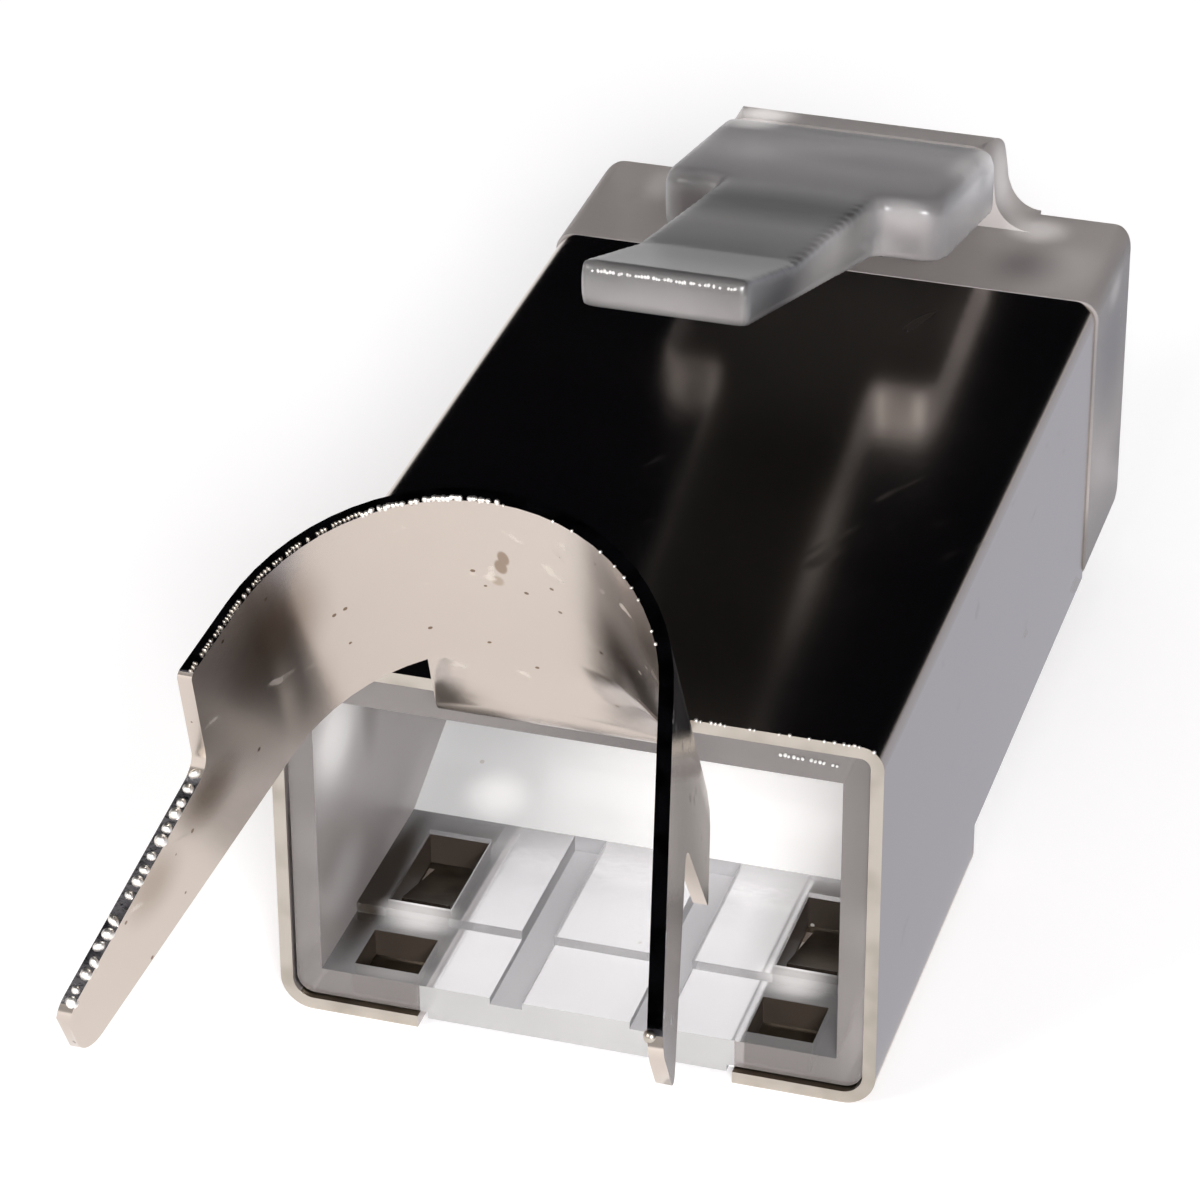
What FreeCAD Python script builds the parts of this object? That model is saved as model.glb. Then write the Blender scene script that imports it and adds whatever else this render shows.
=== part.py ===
import FreeCAD, Part
import math
import os
import Sketcher

# Shielded modular plug, 8 positions, with a crimp strap for a thick round cable.
# Frame: +Y toward the nose that enters the jack, -Y toward the cable, +Z the latch side.
# Origin: middle of the case's rear edge, at the level of the two folded flanges.
# Lengths are in millimetres and angles in degrees.

sizes = {
    # folded metal case
    "case_width": 11.7,
    "case_height": 7.87,
    "case_length": 17.9,
    "case_corner": 0.45,
    "case_lower_corner": 0.65,
    "sheet": 0.25,
    "flange_gap": 6.2,
    "rear_length": 7.9,
    "underside_step": 1.28,
    "step_round": 0.6,
    # tongues lanced from the flanges, which hold the moulding in the case
    "tongue_offset": 3.88,
    "tongue_width": 1.0,
    "tongue_root": 4.82,
    "tongue_length": 2.15,
    "tongue_angle": 17.0,
    "tongue_side_gap": 0.12,
    # neck that carries the crimp strap
    "neck_width": 4.52,
    "neck_top_width": 3.83,
    "neck_tab": 0.36,
    "bend_radius": 0.35,
    "bend_angle": 62.0,
    "neck_length": 2.46,
    # crimp strap, still open
    "strap_width": 4.79,
    "strap_radius": 3.78,
    "left_flare_angle": 15.9,
    "right_flare_angle": 12.9,
    "wide_reach": 1.47,
    "arm_reach": 6.6,
    "jog_slant": 0.35,
    "jog_round": 0.5,
    "lower_tail_root": 2.42,
    "lower_tail_tip": 1.4,
    "upper_tail_root": 1.97,
    "upper_tail_tip": 1.43,
    "tail_round": 0.5,
    "strap_corner": 0.15,
    # clear moulding
    "case_play": 0.03,
    "rear_recess": 0.15,
    "nose_width": 11.8,
    "plug_length": 21.65,
    "nose_round": 0.4,
    "nose_lower_round": 0.3,
    "nose_corner": 0.5,
    "nose_chin": 1.5,
    "gap_pad_drop": 0.15,
    "gap_pad_play": 0.15,
    "cavity_width": 10.13,
    "cavity_length": 9.35,
    "ceiling": 0.65,
    "floor": 0.78,
    "floor_lip": 0.2,
    "entry_length": 2.16,
    "ramp_start": 5.6,
    "ramp_rise": 1.5,
    "groove_offset": 1.38,
    "groove_width": 0.64,
    "groove_depth": 0.35,
    "window_offset": 3.88,
    "window_width": 1.28,
    "window_back": 0.5,
    "window_split": 1.67,
    "window_bar": 0.79,
    "window_front": 5.0,
    # eight conductors and their contacts
    "contact_pitch": 1.02,
    "channel_diameter": 0.9,
    "channel_height": 4.9,
    "channel_front": 20.6,
    "contact_sheet": 0.35,
    "contact_back": 17.7,
    "contact_depth": 2.8,
    "contact_recess": 0.45,
    "contact_nose": 0.55,
    "tooth_rise": 0.5,
    "slot_play": 0.03,
    "slot_open_height": 1.87,
    # latch and its root
    "root_depth": 0.9,
    "root_overhang": 0.35,
    "root_foot": 0.6,
    "root_height": 1.67,
    "root_round": 0.5,
    "root_flare": 0.8,
    "root_top_width": 5.7,
    "latch_width": 6.0,
    "lever_width": 3.25,
    "hinge_rise": 0.35,
    "hinge_gap": 0.03,
    "shoulder_back": 15.83,
    "shoulder_thickness": 1.38,
    "latch_angle": 11.5,
    "lever_angle": 13.8,
    "lever_bend": 9.64,
    "tip_angle": 21.2,
    "tip_back": 5.9,
    "tip_thickness": 1.0,
    "tip_round": 0.15,
    "latch_corner": 0.5,
    "latch_edge": 0.3,
}


# A length or angle with its value and the formula that binds it to the size sheet.
class Dim:
    def __init__(self, value, text):
        self.value = value
        self.text = text

    def __add__(self, other):
        other = dim(other)
        return Dim(self.value + other.value, f"({self.text} + {other.text})")

    def __sub__(self, other):
        other = dim(other)
        return Dim(self.value - other.value, f"({self.text} - {other.text})")

    def __mul__(self, other):
        other = dim(other)
        return Dim(self.value * other.value, f"({self.text} * {other.text})")

    def __truediv__(self, other):
        other = dim(other)
        return Dim(self.value / other.value, f"({self.text} / {other.text})")

    def __neg__(self):
        return Dim(-self.value, f"(0 - {self.text})")

    def __radd__(self, other):
        return dim(other) + self

    def __rsub__(self, other):
        return dim(other) - self

    def __rmul__(self, other):
        return dim(other) * self


def dim(number):
    return number if isinstance(number, Dim) else Dim(float(number), f"{float(number):.6f}")


def sine(angle):
    return Dim(math.sin(math.radians(angle.value)), f"sin({angle.text})")


def cosine(angle):
    return Dim(math.cos(math.radians(angle.value)), f"cos({angle.text})")


def tangent(angle):
    return Dim(math.tan(math.radians(angle.value)), f"tan({angle.text})")


def make_sheet(document):
    sheet = document.addObject("Spreadsheet::Sheet", "Sizes")
    for row, (name, value) in enumerate(sizes.items(), start=1):
        sheet.set(f"A{row}", name.replace("_", " "))
        sheet.set(f"B{row}", str(value))
        sheet.setAlias(f"B{row}", name)
    document.recompute()
    return {name: Dim(float(sheet.get(name)), f"Sizes.{name}") for name in sizes}


def new_body(label):
    body = doc.addObject("PartDesign::Body", label)
    body.Label = label
    body.Placement = FreeCAD.Placement()
    return body


# A sketch on one of the body's own origin planes, moved and turned in that plane's frame.
def new_sketch(body, name, role, move=(0, 0, 0), turn=None, axis=(1, 0, 0)):
    sketch = body.newObject("Sketcher::SketchObject", name)
    plane = [item for item in body.Origin.OriginFeatures if item.Role == role][0]
    sketch.AttachmentSupport = [(plane, "")]
    sketch.MapMode = "FlatFace"
    place = [dim(part) for part in move]
    angle = turn if turn else dim(0)
    offset = FreeCAD.Vector(*[part.value for part in place])
    rotation = FreeCAD.Rotation(FreeCAD.Vector(*axis), angle.value)
    sketch.AttachmentOffset = FreeCAD.Placement(offset, rotation)
    for letter, part in zip("xyz", place):
        if part.text.startswith("Sizes") or "Sizes" in part.text:
            sketch.setExpression(f"AttachmentOffset.Base.{letter}", part.text)
    if turn:
        sketch.setExpression("AttachmentOffset.Rotation.Angle", angle.text)
    return sketch


def bind(sketch, kind, references, size):
    index = sketch.addConstraint(Sketcher.Constraint(kind, *references, size.value))
    if "Sizes" in size.text:
        sketch.setExpression(f"Constraints[{index}]", size.text)


def pin_point(sketch, geometry, end, x, y):
    for kind, axis, size in (("DistanceX", -2, x), ("DistanceY", -1, y)):
        if abs(size.value) < 1e-9 and "Sizes" not in size.text:
            sketch.addConstraint(Sketcher.Constraint("PointOnObject", geometry, end, axis))
        else:
            bind(sketch, kind, (-1, 1, geometry, end), size)


def arc_between(start, end, radius, side):
    middle = (start + end) * 0.5
    chord = end - start
    rise = math.sqrt(max(radius ** 2 - (chord.Length / 2) ** 2, 0))
    across = FreeCAD.Vector(-chord.y, chord.x, 0).normalize()
    centre = middle + across * rise * side
    first, last = (start, end) if side > 0 else (end, start)
    angles = [math.atan2(point.y - centre.y, point.x - centre.x) for point in (first, last)]
    circle = Part.Circle(centre, FreeCAD.Vector(0, 0, 1), radius)
    if angles[1] <= angles[0]:
        angles[1] += 2 * math.pi
    return Part.ArcOfCircle(circle, *angles)


# A closed outline. A corner is (x, y), or (x, y, radius) where it is rounded. arcs gives, for
# the stretch that leaves a corner, its radius and the side of its centre: 1 left, -1 right.
def outline(sketch, corners, arcs=None):
    arcs = arcs or {}
    count = len(corners)
    places = [(dim(corner[0]), dim(corner[1])) for corner in corners]
    points = [FreeCAD.Vector(x.value, y.value, 0) for x, y in places]
    rounds = {index: dim(corner[2]) for index, corner in enumerate(corners) if len(corner) > 2}

    def trimmed(index, toward):
        if index not in rounds:
            return points[index]
        before = (points[index - 1] - points[index]).normalize()
        after = (points[(index + 1) % count] - points[index]).normalize()
        half = math.acos(max(-1, min(1, before.dot(after)))) / 2
        reach = rounds[index].value / math.tan(half)
        return points[index] + (before if toward < 0 else after) * reach

    ends = {}
    for index in range(count):
        following = (index + 1) % count
        start = trimmed(index, 1)
        end = trimmed(following, -1)
        if index in arcs:
            radius, side = dim(arcs[index][0]), arcs[index][1]
            geometry = sketch.addGeometry(arc_between(start, end, radius.value, side))
            ends[index] = (geometry, 1, 2) if side > 0 else (geometry, 2, 1)
            bind(sketch, "Radius", (geometry,), radius)
        else:
            geometry = sketch.addGeometry(Part.LineSegment(start, end))
            ends[index] = (geometry, 1, 2)
    for index in range(count):
        previous = (index - 1) % count
        line_in, _, end_in = ends[previous]
        line_out, start_out, _ = ends[index]
        x, y = places[index]
        if index not in rounds:
            sketch.addConstraint(Sketcher.Constraint("Coincident", line_in, end_in, line_out, start_out))
            pin_point(sketch, line_out, start_out, x, y)
            continue
        start = trimmed(index, -1)
        end = trimmed(index, 1)
        turning = (points[index] - points[previous]).cross(points[(index + 1) % count] - points[index]).z
        side = 1 if turning > 0 else -1
        arc = sketch.addGeometry(arc_between(start, end, rounds[index].value, side))
        arc_start, arc_end = (1, 2) if side > 0 else (2, 1)
        sketch.addConstraint(Sketcher.Constraint("Tangent", line_in, end_in, arc, arc_start))
        sketch.addConstraint(Sketcher.Constraint("Tangent", arc, arc_end, line_out, start_out))
        bind(sketch, "Radius", (arc,), rounds[index])
        corner = sketch.addGeometry(Part.Point(points[index]), True)
        sketch.addConstraint(Sketcher.Constraint("PointOnObject", corner, 1, line_in))
        sketch.addConstraint(Sketcher.Constraint("PointOnObject", corner, 1, line_out))
        pin_point(sketch, corner, 1, x, y)
    return sketch


def rectangle(sketch, left, right, bottom, top):
    return outline(sketch, [(left, bottom), (right, bottom), (right, top), (left, top)])


def circle(sketch, x, y, diameter):
    x, y, diameter = dim(x), dim(y), dim(diameter)
    centre = FreeCAD.Vector(x.value, y.value, 0)
    ring = sketch.addGeometry(Part.Circle(centre, FreeCAD.Vector(0, 0, 1), diameter.value / 2))
    pin_point(sketch, ring, 3, x, y)
    bind(sketch, "Diameter", (ring,), diameter)


# A pad or pocket. way is 1 along the sketch's normal, -1 against it, 0 half to each side.
def extrude(body, kind, sketch, length, way):
    length = dim(length)
    feature = body.newObject(f"PartDesign::{kind}", f"{sketch.Name}_{kind.lower()}")
    feature.Profile = sketch
    feature.Length = length.value
    if "Sizes" in length.text:
        feature.setExpression("Length", length.text)
    if way == 0:
        feature.Midplane = True
    else:
        feature.Reversed = (way < 0) if kind == "Pad" else (way > 0)
    sketch.Visibility = False
    before = body.Shape.Volume if not body.Shape.isNull() else 0
    doc.recompute()
    change = feature.Shape.Volume - before
    if (kind == "Pad") != (change > 0) or abs(change) < 1e-6:
        raise RuntimeError(f"{feature.Name} changes the solid by {change:.4f} cubic mm")
    return feature


def repeat(body, feature, spacing, count):
    pattern = body.newObject("PartDesign::LinearPattern", f"{feature.Name}_row")
    pattern.Originals = [feature]
    across = [item for item in body.Origin.OriginFeatures if item.Role == "X_Axis"][0]
    pattern.Direction = (across, [""])
    pattern.Length = spacing.value * (count - 1)
    pattern.setExpression("Length", f"{spacing.text} * {count - 1}")
    pattern.Occurrences = count
    body.Tip = pattern
    doc.recompute()
    return pattern


# The edges whose midpoints pass the test are rounded.
def round_edges(body, name, radius, test):
    base = body.Tip
    chosen = []
    for number, edge in enumerate(base.Shape.Edges, start=1):
        middle = edge.valueAt((edge.FirstParameter + edge.LastParameter) / 2)
        along = edge.tangentAt((edge.FirstParameter + edge.LastParameter) / 2)
        if test(middle, along):
            chosen.append(f"Edge{number}")
    rounded = body.newObject("PartDesign::Fillet", name)
    rounded.Base = (base, chosen)
    rounded.Radius = radius.value
    rounded.setExpression("Radius", radius.text)
    doc.recompute()
    return rounded


# Both sides of the mid-plane get the same feature.
def mirror(body, feature):
    copy = body.newObject("PartDesign::Mirrored", f"{feature.Name}_mirror")
    copy.Originals = [feature]
    plane = [item for item in body.Origin.OriginFeatures if item.Role == "YZ_Plane"][0]
    copy.MirrorPlane = (plane, [""])
    body.Tip = copy
    doc.recompute()
    return copy


overshoot = 1.0      # how far a cutting outline runs past the solid that it cuts
contact_count = 8


# The case: one strip folded to a C around the moulding, its flanges apart below.
def fold_case(body):
    half = z["case_width"] / 2
    gap = z["flange_gap"] / 2
    top = z["case_height"]
    sheet = z["sheet"]
    upper = z["case_corner"]
    lower = z["case_lower_corner"]
    section = new_sketch(body, "case_section", "XZ_Plane")
    outline(section, [
        (gap, 0), (half, 0, lower), (half, top, upper), (-half, top, upper), (-half, 0, lower), (-gap, 0),
        (-gap, sheet), (sheet - half, sheet, lower - sheet), (sheet - half, top - sheet, upper - sheet),
        (half - sheet, top - sheet, upper - sheet), (half - sheet, sheet, lower - sheet), (gap, sheet),
    ])
    extrude(body, "Pad", section, z["case_length"], -1)
    back = z["rear_length"]
    soft = z["step_round"]
    front = z["case_length"] + overshoot
    step = new_sketch(body, "underside_cut", "YZ_Plane")
    outline(step, [
        (back - soft, -overshoot), (front, -overshoot), (front, z["underside_step"]),
        (back, z["underside_step"]), (back, soft), (back - soft, 0),
    ], {4: (soft, -1)})
    extrude(body, "Pocket", step, z["case_width"] + 2 * overshoot, 0)


# Each flange has one tongue, cut free on three sides and bent up into the moulding's window.
def lance_tongues(body):
    middle = z["tongue_offset"]
    half = z["tongue_width"] / 2
    slit = z["tongue_side_gap"]
    root = z["tongue_root"]
    length = z["tongue_length"]
    rise = length * sine(z["tongue_angle"])
    run = length * cosine(z["tongue_angle"])
    lift = z["sheet"] * cosine(z["tongue_angle"])
    lean = z["sheet"] * sine(z["tongue_angle"])
    hole = new_sketch(body, "tongue_hole", "XY_Plane")
    rectangle(hole, middle - half - slit, middle + half + slit, root - length - slit, root)
    cut = extrude(body, "Pocket", hole, z["sheet"] * 2, 0)
    mirror(body, cut)
    side = new_sketch(body, "tongue_side", "YZ_Plane", (0, 0, middle))
    outline(side, [
        (root, 0), (root, z["sheet"]), (root - run + lean, rise + lift), (root - run, rise),
    ])
    tongue = extrude(body, "Pad", side, z["tongue_width"], 0)
    mirror(body, tongue)


# Where the strap's frame stands: at the end of the bend, plus a distance along the strap's width.
def strap_datum(distance):
    turn = z["bend_angle"]
    reach = z["bend_radius"] + z["sheet"]
    back = -z["neck_tab"] - reach * sine(turn) - distance * cosine(turn)
    level = z["case_height"] + z["bend_radius"] - reach * cosine(turn) + distance * sine(turn)
    return back, level


def bend_neck(body):
    top = z["case_height"]
    sheet = z["sheet"]
    tab = z["neck_tab"]
    inside = z["bend_radius"]
    outside = inside + sheet
    turn = z["bend_angle"]
    half = z["neck_width"] / 2
    side = new_sketch(body, "neck_side", "YZ_Plane")
    outline(side, [
        (0, top - sheet), (0, top), (-tab, top),
        (-tab - inside * sine(turn), top + inside - inside * cosine(turn)),
        (-tab - outside * sine(turn), top + inside - outside * cosine(turn)),
        (-tab, top - sheet),
    ], {2: (inside, -1), 4: (outside, 1)})
    extrude(body, "Pad", side, z["neck_width"], 0)

    start_back, start_level = strap_datum(dim(0))
    flat = new_sketch(body, "neck_flat_end", "XY_Plane", (0, start_back, start_level), 90 - turn)
    rectangle(flat, -half, half, 0, sheet)

    radius = z["strap_radius"]
    spread = z["neck_top_width"] / 2 / radius * (180 / math.pi)
    end_back, end_level = strap_datum(z["neck_length"])
    curved = new_sketch(body, "neck_curved_end", "XY_Plane", (0, end_back, end_level), 90 - turn)
    full = radius + sheet
    outline(curved, [
        (-radius * sine(spread), radius * cosine(spread) - radius),
        (radius * sine(spread), radius * cosine(spread) - radius),
        (full * sine(spread), full * cosine(spread) - radius),
        (-full * sine(spread), full * cosine(spread) - radius),
    ], {0: (radius, -1), 2: (full, 1)})
    loft = body.newObject("PartDesign::AdditiveLoft", "neck_loft")
    loft.Profile = flat
    loft.Sections = [curved]
    loft.Ruled = True
    doc.recompute()


# The strap: a strip bent to an open U around the cable, its arms flared and cut to tails
# that lie side by side once the strap is closed.
def bend_strap(body):
    sheet = z["sheet"]
    radius = z["strap_radius"]
    full = radius + sheet
    reach = z["arm_reach"]
    turn = z["bend_angle"]
    back, level = strap_datum(z["neck_length"])

    # where an arm's face starts and ends, and how far its outer face stands off
    def arm(flare):
        side = radius * cosine(flare)
        drop = radius * sine(flare) - radius
        tip_side = side + reach * sine(flare)
        tip_drop = drop - reach * cosine(flare)
        return side, drop, tip_side, tip_drop, sheet * cosine(flare), sheet * sine(flare)

    left = z["left_flare_angle"]
    right = z["right_flare_angle"]
    side_l, drop_l, tip_side_l, tip_drop_l, skin_side_l, skin_drop_l = arm(left)
    side_r, drop_r, tip_side_r, tip_drop_r, skin_side_r, skin_drop_r = arm(right)
    strip = new_sketch(body, "strap_section", "XY_Plane", (0, back, level), 90 - turn)
    outline(strip, [
        (-tip_side_l, tip_drop_l), (-side_l, drop_l), (side_r, drop_r), (tip_side_r, tip_drop_r),
        (tip_side_r + skin_side_r, tip_drop_r + skin_drop_r),
        (side_r + skin_side_r, drop_r + skin_drop_r),
        (-side_l - skin_side_l, drop_l + skin_drop_l),
        (-tip_side_l - skin_side_l, tip_drop_l + skin_drop_l),
    ], {1: (radius, -1), 5: (full, 1)})
    extrude(body, "Pad", strip, z["strap_width"], 1)

    top = z["strap_width"]
    ease = z["tail_round"]
    bend = z["jog_round"]
    corner = z["strap_corner"]
    frame = {"move": (back, level, 0), "turn": 90 - turn, "axis": (0, 0, 1)}
    wide_end = drop_l - z["wide_reach"] * cosine(left)
    past_tip = tip_drop_l - overshoot
    lower = new_sketch(body, "lower_tail_cut", "YZ_Plane", **frame)
    outline(lower, [
        (wide_end + corner, top + overshoot), (wide_end + corner, top), (wide_end, top - corner),
        (wide_end - z["jog_slant"], z["lower_tail_root"], bend),
        (tip_drop_l, z["lower_tail_tip"], ease), (tip_drop_l, 0, ease), (tip_drop_l + 2 * ease, 0),
        (tip_drop_l + 2 * ease, -overshoot), (past_tip, -overshoot), (past_tip, top + overshoot),
    ], {1: (corner, 1)})
    extrude(body, "Pocket", lower, tip_side_l + 2 * overshoot, -1)
    wide_end = drop_r - z["wide_reach"] * cosine(right)
    past_tip = tip_drop_r - overshoot
    upper = new_sketch(body, "upper_tail_cut", "YZ_Plane", **frame)
    outline(upper, [
        (wide_end + corner, -overshoot), (wide_end + corner, 0), (wide_end, corner),
        (wide_end - z["jog_slant"], top - z["upper_tail_root"], bend),
        (tip_drop_r, top - z["upper_tail_tip"], ease), (tip_drop_r, top, ease),
        (tip_drop_r + 2 * ease, top),
        (tip_drop_r + 2 * ease, top + overshoot), (past_tip, top + overshoot), (past_tip, -overshoot),
    ], {1: (corner, -1)})
    extrude(body, "Pocket", upper, tip_side_r + 2 * overshoot, 1)


def make_shield():
    body = new_body("shield")
    fold_case(body)
    lance_tongues(body)
    bend_neck(body)
    bend_strap(body)
    return body


# The moulding's body inside the case, and the nose that stands out of it.
def mould_blocks(body):
    play = z["case_play"]
    sheet = z["sheet"]
    core = z["case_width"] / 2 - sheet - play
    base = sheet + play
    top = z["case_height"] - sheet - play
    back = z["rear_recess"]
    nose_back = z["case_length"] + play
    section = new_sketch(body, "core_section", "XZ_Plane", (0, 0, -back))
    lower = z["case_lower_corner"] - base
    upper = z["case_corner"] - base
    outline(section, [(-core, base, lower), (core, base, lower), (core, top, upper), (-core, top, upper)])
    extrude(body, "Pad", section, nose_back - back, -1)
    nose = new_sketch(body, "nose_section", "XZ_Plane", (0, 0, -nose_back))
    half = z["nose_width"] / 2
    step = z["underside_step"]
    ease = z["nose_round"]
    outline(nose, [
        (-half, step, z["nose_lower_round"]), (half, step, z["nose_lower_round"]),
        (half, z["case_height"], ease), (-half, z["case_height"], ease),
    ])
    extrude(body, "Pad", nose, z["plug_length"] - nose_back, -1)

    rear = z["rear_length"] - play
    soft = z["step_round"]
    length = z["plug_length"]
    chin = z["nose_chin"]
    under = new_sketch(body, "moulding_underside", "YZ_Plane")
    outline(under, [
        (rear - soft, -overshoot), (length + overshoot, -overshoot), (length + overshoot, step + chin),
        (length, step + chin), (length - chin, step), (rear, step), (rear, base + soft),
        (rear - soft, base),
    ], {3: (chin, -1), 6: (soft, -1)})
    extrude(body, "Pocket", under, z["nose_width"] + 2 * overshoot, 0)

    plan = new_sketch(body, "nose_corners", "XY_Plane")
    corner = z["nose_corner"]
    past = length + overshoot
    aside = half + overshoot
    outline(plan, [
        (half, length - corner), (half - corner, length),
        (corner - half, length), (-half, length - corner),
        (-aside, length - corner), (-aside, past), (aside, past), (aside, length - corner),
    ], {0: (corner, 1), 2: (corner, 1)})
    extrude(body, "Pocket", plan, z["case_height"] + overshoot, 1)

    pad = new_sketch(body, "gap_pad", "XY_Plane", (0, 0, base))
    half = z["flange_gap"] / 2 - z["gap_pad_play"]
    rectangle(pad, -half, half, back, rear - soft)
    extrude(body, "Pad", pad, z["gap_pad_drop"], -1)


# The cable end is hollow: a lip, a flat floor and a ramp that leads the wires up to the channels.
def hollow_cavity(body):
    base = z["sheet"] + z["case_play"]
    floor = base + z["floor"]
    ceiling = z["case_height"] - base - z["ceiling"]
    lip = floor - z["floor_lip"]
    entry = z["entry_length"]
    end = z["cavity_length"]
    side = new_sketch(body, "cavity_side", "YZ_Plane")
    outline(side, [
        (0, lip), (entry, lip), (entry, floor), (z["ramp_start"], floor),
        (end, floor + z["ramp_rise"]), (end, ceiling), (0, ceiling),
    ])
    extrude(body, "Pocket", side, z["cavity_width"], 0)

    groove = new_sketch(body, "floor_groove", "XZ_Plane")
    middle = z["groove_offset"]
    half = z["groove_width"] / 2
    rectangle(groove, middle - half, middle + half, floor - z["groove_depth"], floor)
    cut = extrude(body, "Pocket", groove, z["ramp_start"], -1)
    mirror(body, cut)

    middle = z["window_offset"]
    half = z["window_width"] / 2
    split = z["window_split"]
    for name, start, stop in (
        ("rear_window", z["window_back"], split),
        ("front_window", split + z["window_bar"], z["window_front"]),
    ):
        window = new_sketch(body, name, "XY_Plane")
        rectangle(window, middle - half, middle + half, start, stop)
        cut = extrude(body, "Pocket", window, floor + z["floor_lip"], 1)
        mirror(body, cut)


# One channel for each conductor and one open slot below it for each contact.
def cut_channels(body):
    first = -z["contact_pitch"] * ((contact_count - 1) / 2)
    mouth = z["cavity_length"] - overshoot
    channel = new_sketch(body, "wire_channel", "XZ_Plane", (0, 0, -mouth))
    circle(channel, first, z["channel_height"], z["channel_diameter"])
    bore = extrude(body, "Pocket", channel, z["channel_front"] - mouth, -1)
    repeat(body, bore, z["contact_pitch"], contact_count)

    play = z["slot_play"]
    width = z["contact_sheet"] + 2 * play
    back = z["contact_back"] - play
    front = z["contact_back"] + z["contact_depth"] + play
    step = z["underside_step"]
    open_top = step + z["slot_open_height"]
    slot_top = z["channel_height"]
    past = z["plug_length"] + overshoot
    slot = new_sketch(body, "contact_slot", "YZ_Plane", (0, 0, first))
    outline(slot, [
        (back, step - overshoot), (past, step - overshoot), (past, open_top), (front, open_top),
        (front, slot_top), (back, slot_top),
    ])
    cut = extrude(body, "Pocket", slot, width, 0)
    repeat(body, cut, z["contact_pitch"], contact_count)


def latch_top(back):
    drop = (z["plug_length"] - back) * tangent(z["latch_angle"])
    return z["case_height"] + z["root_height"] + drop


# The block on the nose that the latch springs from. It leans forward over the nose's front,
# its upper corners are round and hollow curves run down from its sides to the nose.
def raise_latch_root(body):
    top = z["case_height"]
    length = z["plug_length"]
    seam = length - z["root_depth"]
    front = length + z["root_overhang"]
    half = z["latch_width"] / 2
    half_top = z["root_top_width"] / 2
    flare = z["root_flare"]
    soft = z["root_round"]
    height = latch_top(seam)
    sink = top - z["root_foot"]
    root = new_sketch(body, "root_section", "XZ_Plane", (0, 0, -seam))
    outline(root, [
        (-half - flare, top), (-half - flare, sink), (half + flare, sink), (half + flare, top),
        (half, top + flare), (half_top, height, soft), (-half_top, height, soft), (-half, top + flare),
    ], {3: (flare, -1), 7: (flare, -1)})
    extrude(body, "Pad", root, front - seam, -1)
    shape = new_sketch(body, "root_front_cut", "YZ_Plane")
    behind = seam - overshoot
    past = front + overshoot
    outline(shape, [
        (behind, latch_top(behind)), (front, latch_top(front), soft), (front, top + soft), (length, sink),
        (length, sink - overshoot), (past, sink - overshoot), (past, height + overshoot),
        (behind, height + overshoot),
    ])
    extrude(body, "Pocket", shape, z["nose_width"] + 2 * overshoot, 0)


def make_housing():
    body = new_body("housing")
    mould_blocks(body)
    raise_latch_root(body)
    hollow_cavity(body)
    cut_channels(body)
    return body


# The latch: a wide part that locks behind the jack's stops, and a lever that a finger presses.
def make_latch():
    body = new_body("latch")
    top = z["case_height"]
    seam = z["plug_length"] - z["root_depth"] - z["hinge_gap"]
    shoulder = z["shoulder_back"]
    shoulder_top = latch_top(shoulder)
    shoulder_base = shoulder_top - z["shoulder_thickness"]
    wide = new_sketch(body, "wide_side", "YZ_Plane")
    outline(wide, [
        (seam, top + z["hinge_rise"]), (seam, latch_top(seam)), (shoulder, shoulder_top),
        (shoulder, shoulder_base),
    ])
    extrude(body, "Pad", wide, z["latch_width"], 0)

    # its shoulders' corners are rounded, and then the edge that runs round its top
    def shoulder_corner(middle, along):
        return abs(along.z) > 0.99 and middle.y < seam.value - 0.5

    def top_edge(middle, along):
        level = latch_top(seam).value + (seam.value - middle.y) * tangent(z["latch_angle"]).value
        return abs(middle.z - level) < 0.01 and middle.y < seam.value - 0.1

    round_edges(body, "shoulder_corners", z["latch_corner"], shoulder_corner)
    round_edges(body, "top_edges", z["latch_edge"], top_edge)

    bend = z["lever_bend"]
    tip = z["tip_back"]
    soft = z["tip_round"]
    bend_top = shoulder_top + (shoulder - bend) * tangent(z["lever_angle"])
    tip_top = bend_top + (bend - tip) * tangent(z["tip_angle"])
    tip_base = tip_top - z["tip_thickness"]
    inset = z["shoulder_thickness"] / 2
    lever = new_sketch(body, "lever_side", "YZ_Plane")
    outline(lever, [
        (shoulder + inset, latch_top(shoulder + inset)), (shoulder, shoulder_top), (bend, bend_top),
        (tip, tip_top, soft), (tip, tip_base, soft), (shoulder, shoulder_base),
        (shoulder + inset, shoulder_base),
    ])
    extrude(body, "Pad", lever, z["lever_width"], 0)
    return body


# A contact: a thin gilt blade, round at the front below, with two teeth above.
def make_contact(number):
    body = new_body(f"contact_{number}")
    offset = z["contact_pitch"] * (number - (contact_count + 1) / 2)
    back = z["contact_back"]
    depth = z["contact_depth"]
    base = z["underside_step"] + z["contact_recess"]
    root = z["channel_height"] - z["channel_diameter"] / 2
    tooth = root + z["tooth_rise"]
    flank = depth / 4
    side = new_sketch(body, f"blade_{number}", "YZ_Plane", (0, 0, offset))
    outline(side, [
        (back, base), (back + depth, base, z["contact_nose"]), (back + depth, root),
        (back + 3 * flank, tooth), (back + 2 * flank, root), (back + flank, tooth), (back, root),
    ])
    extrude(body, "Pad", side, z["contact_sheet"], 0)
    return body


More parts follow.
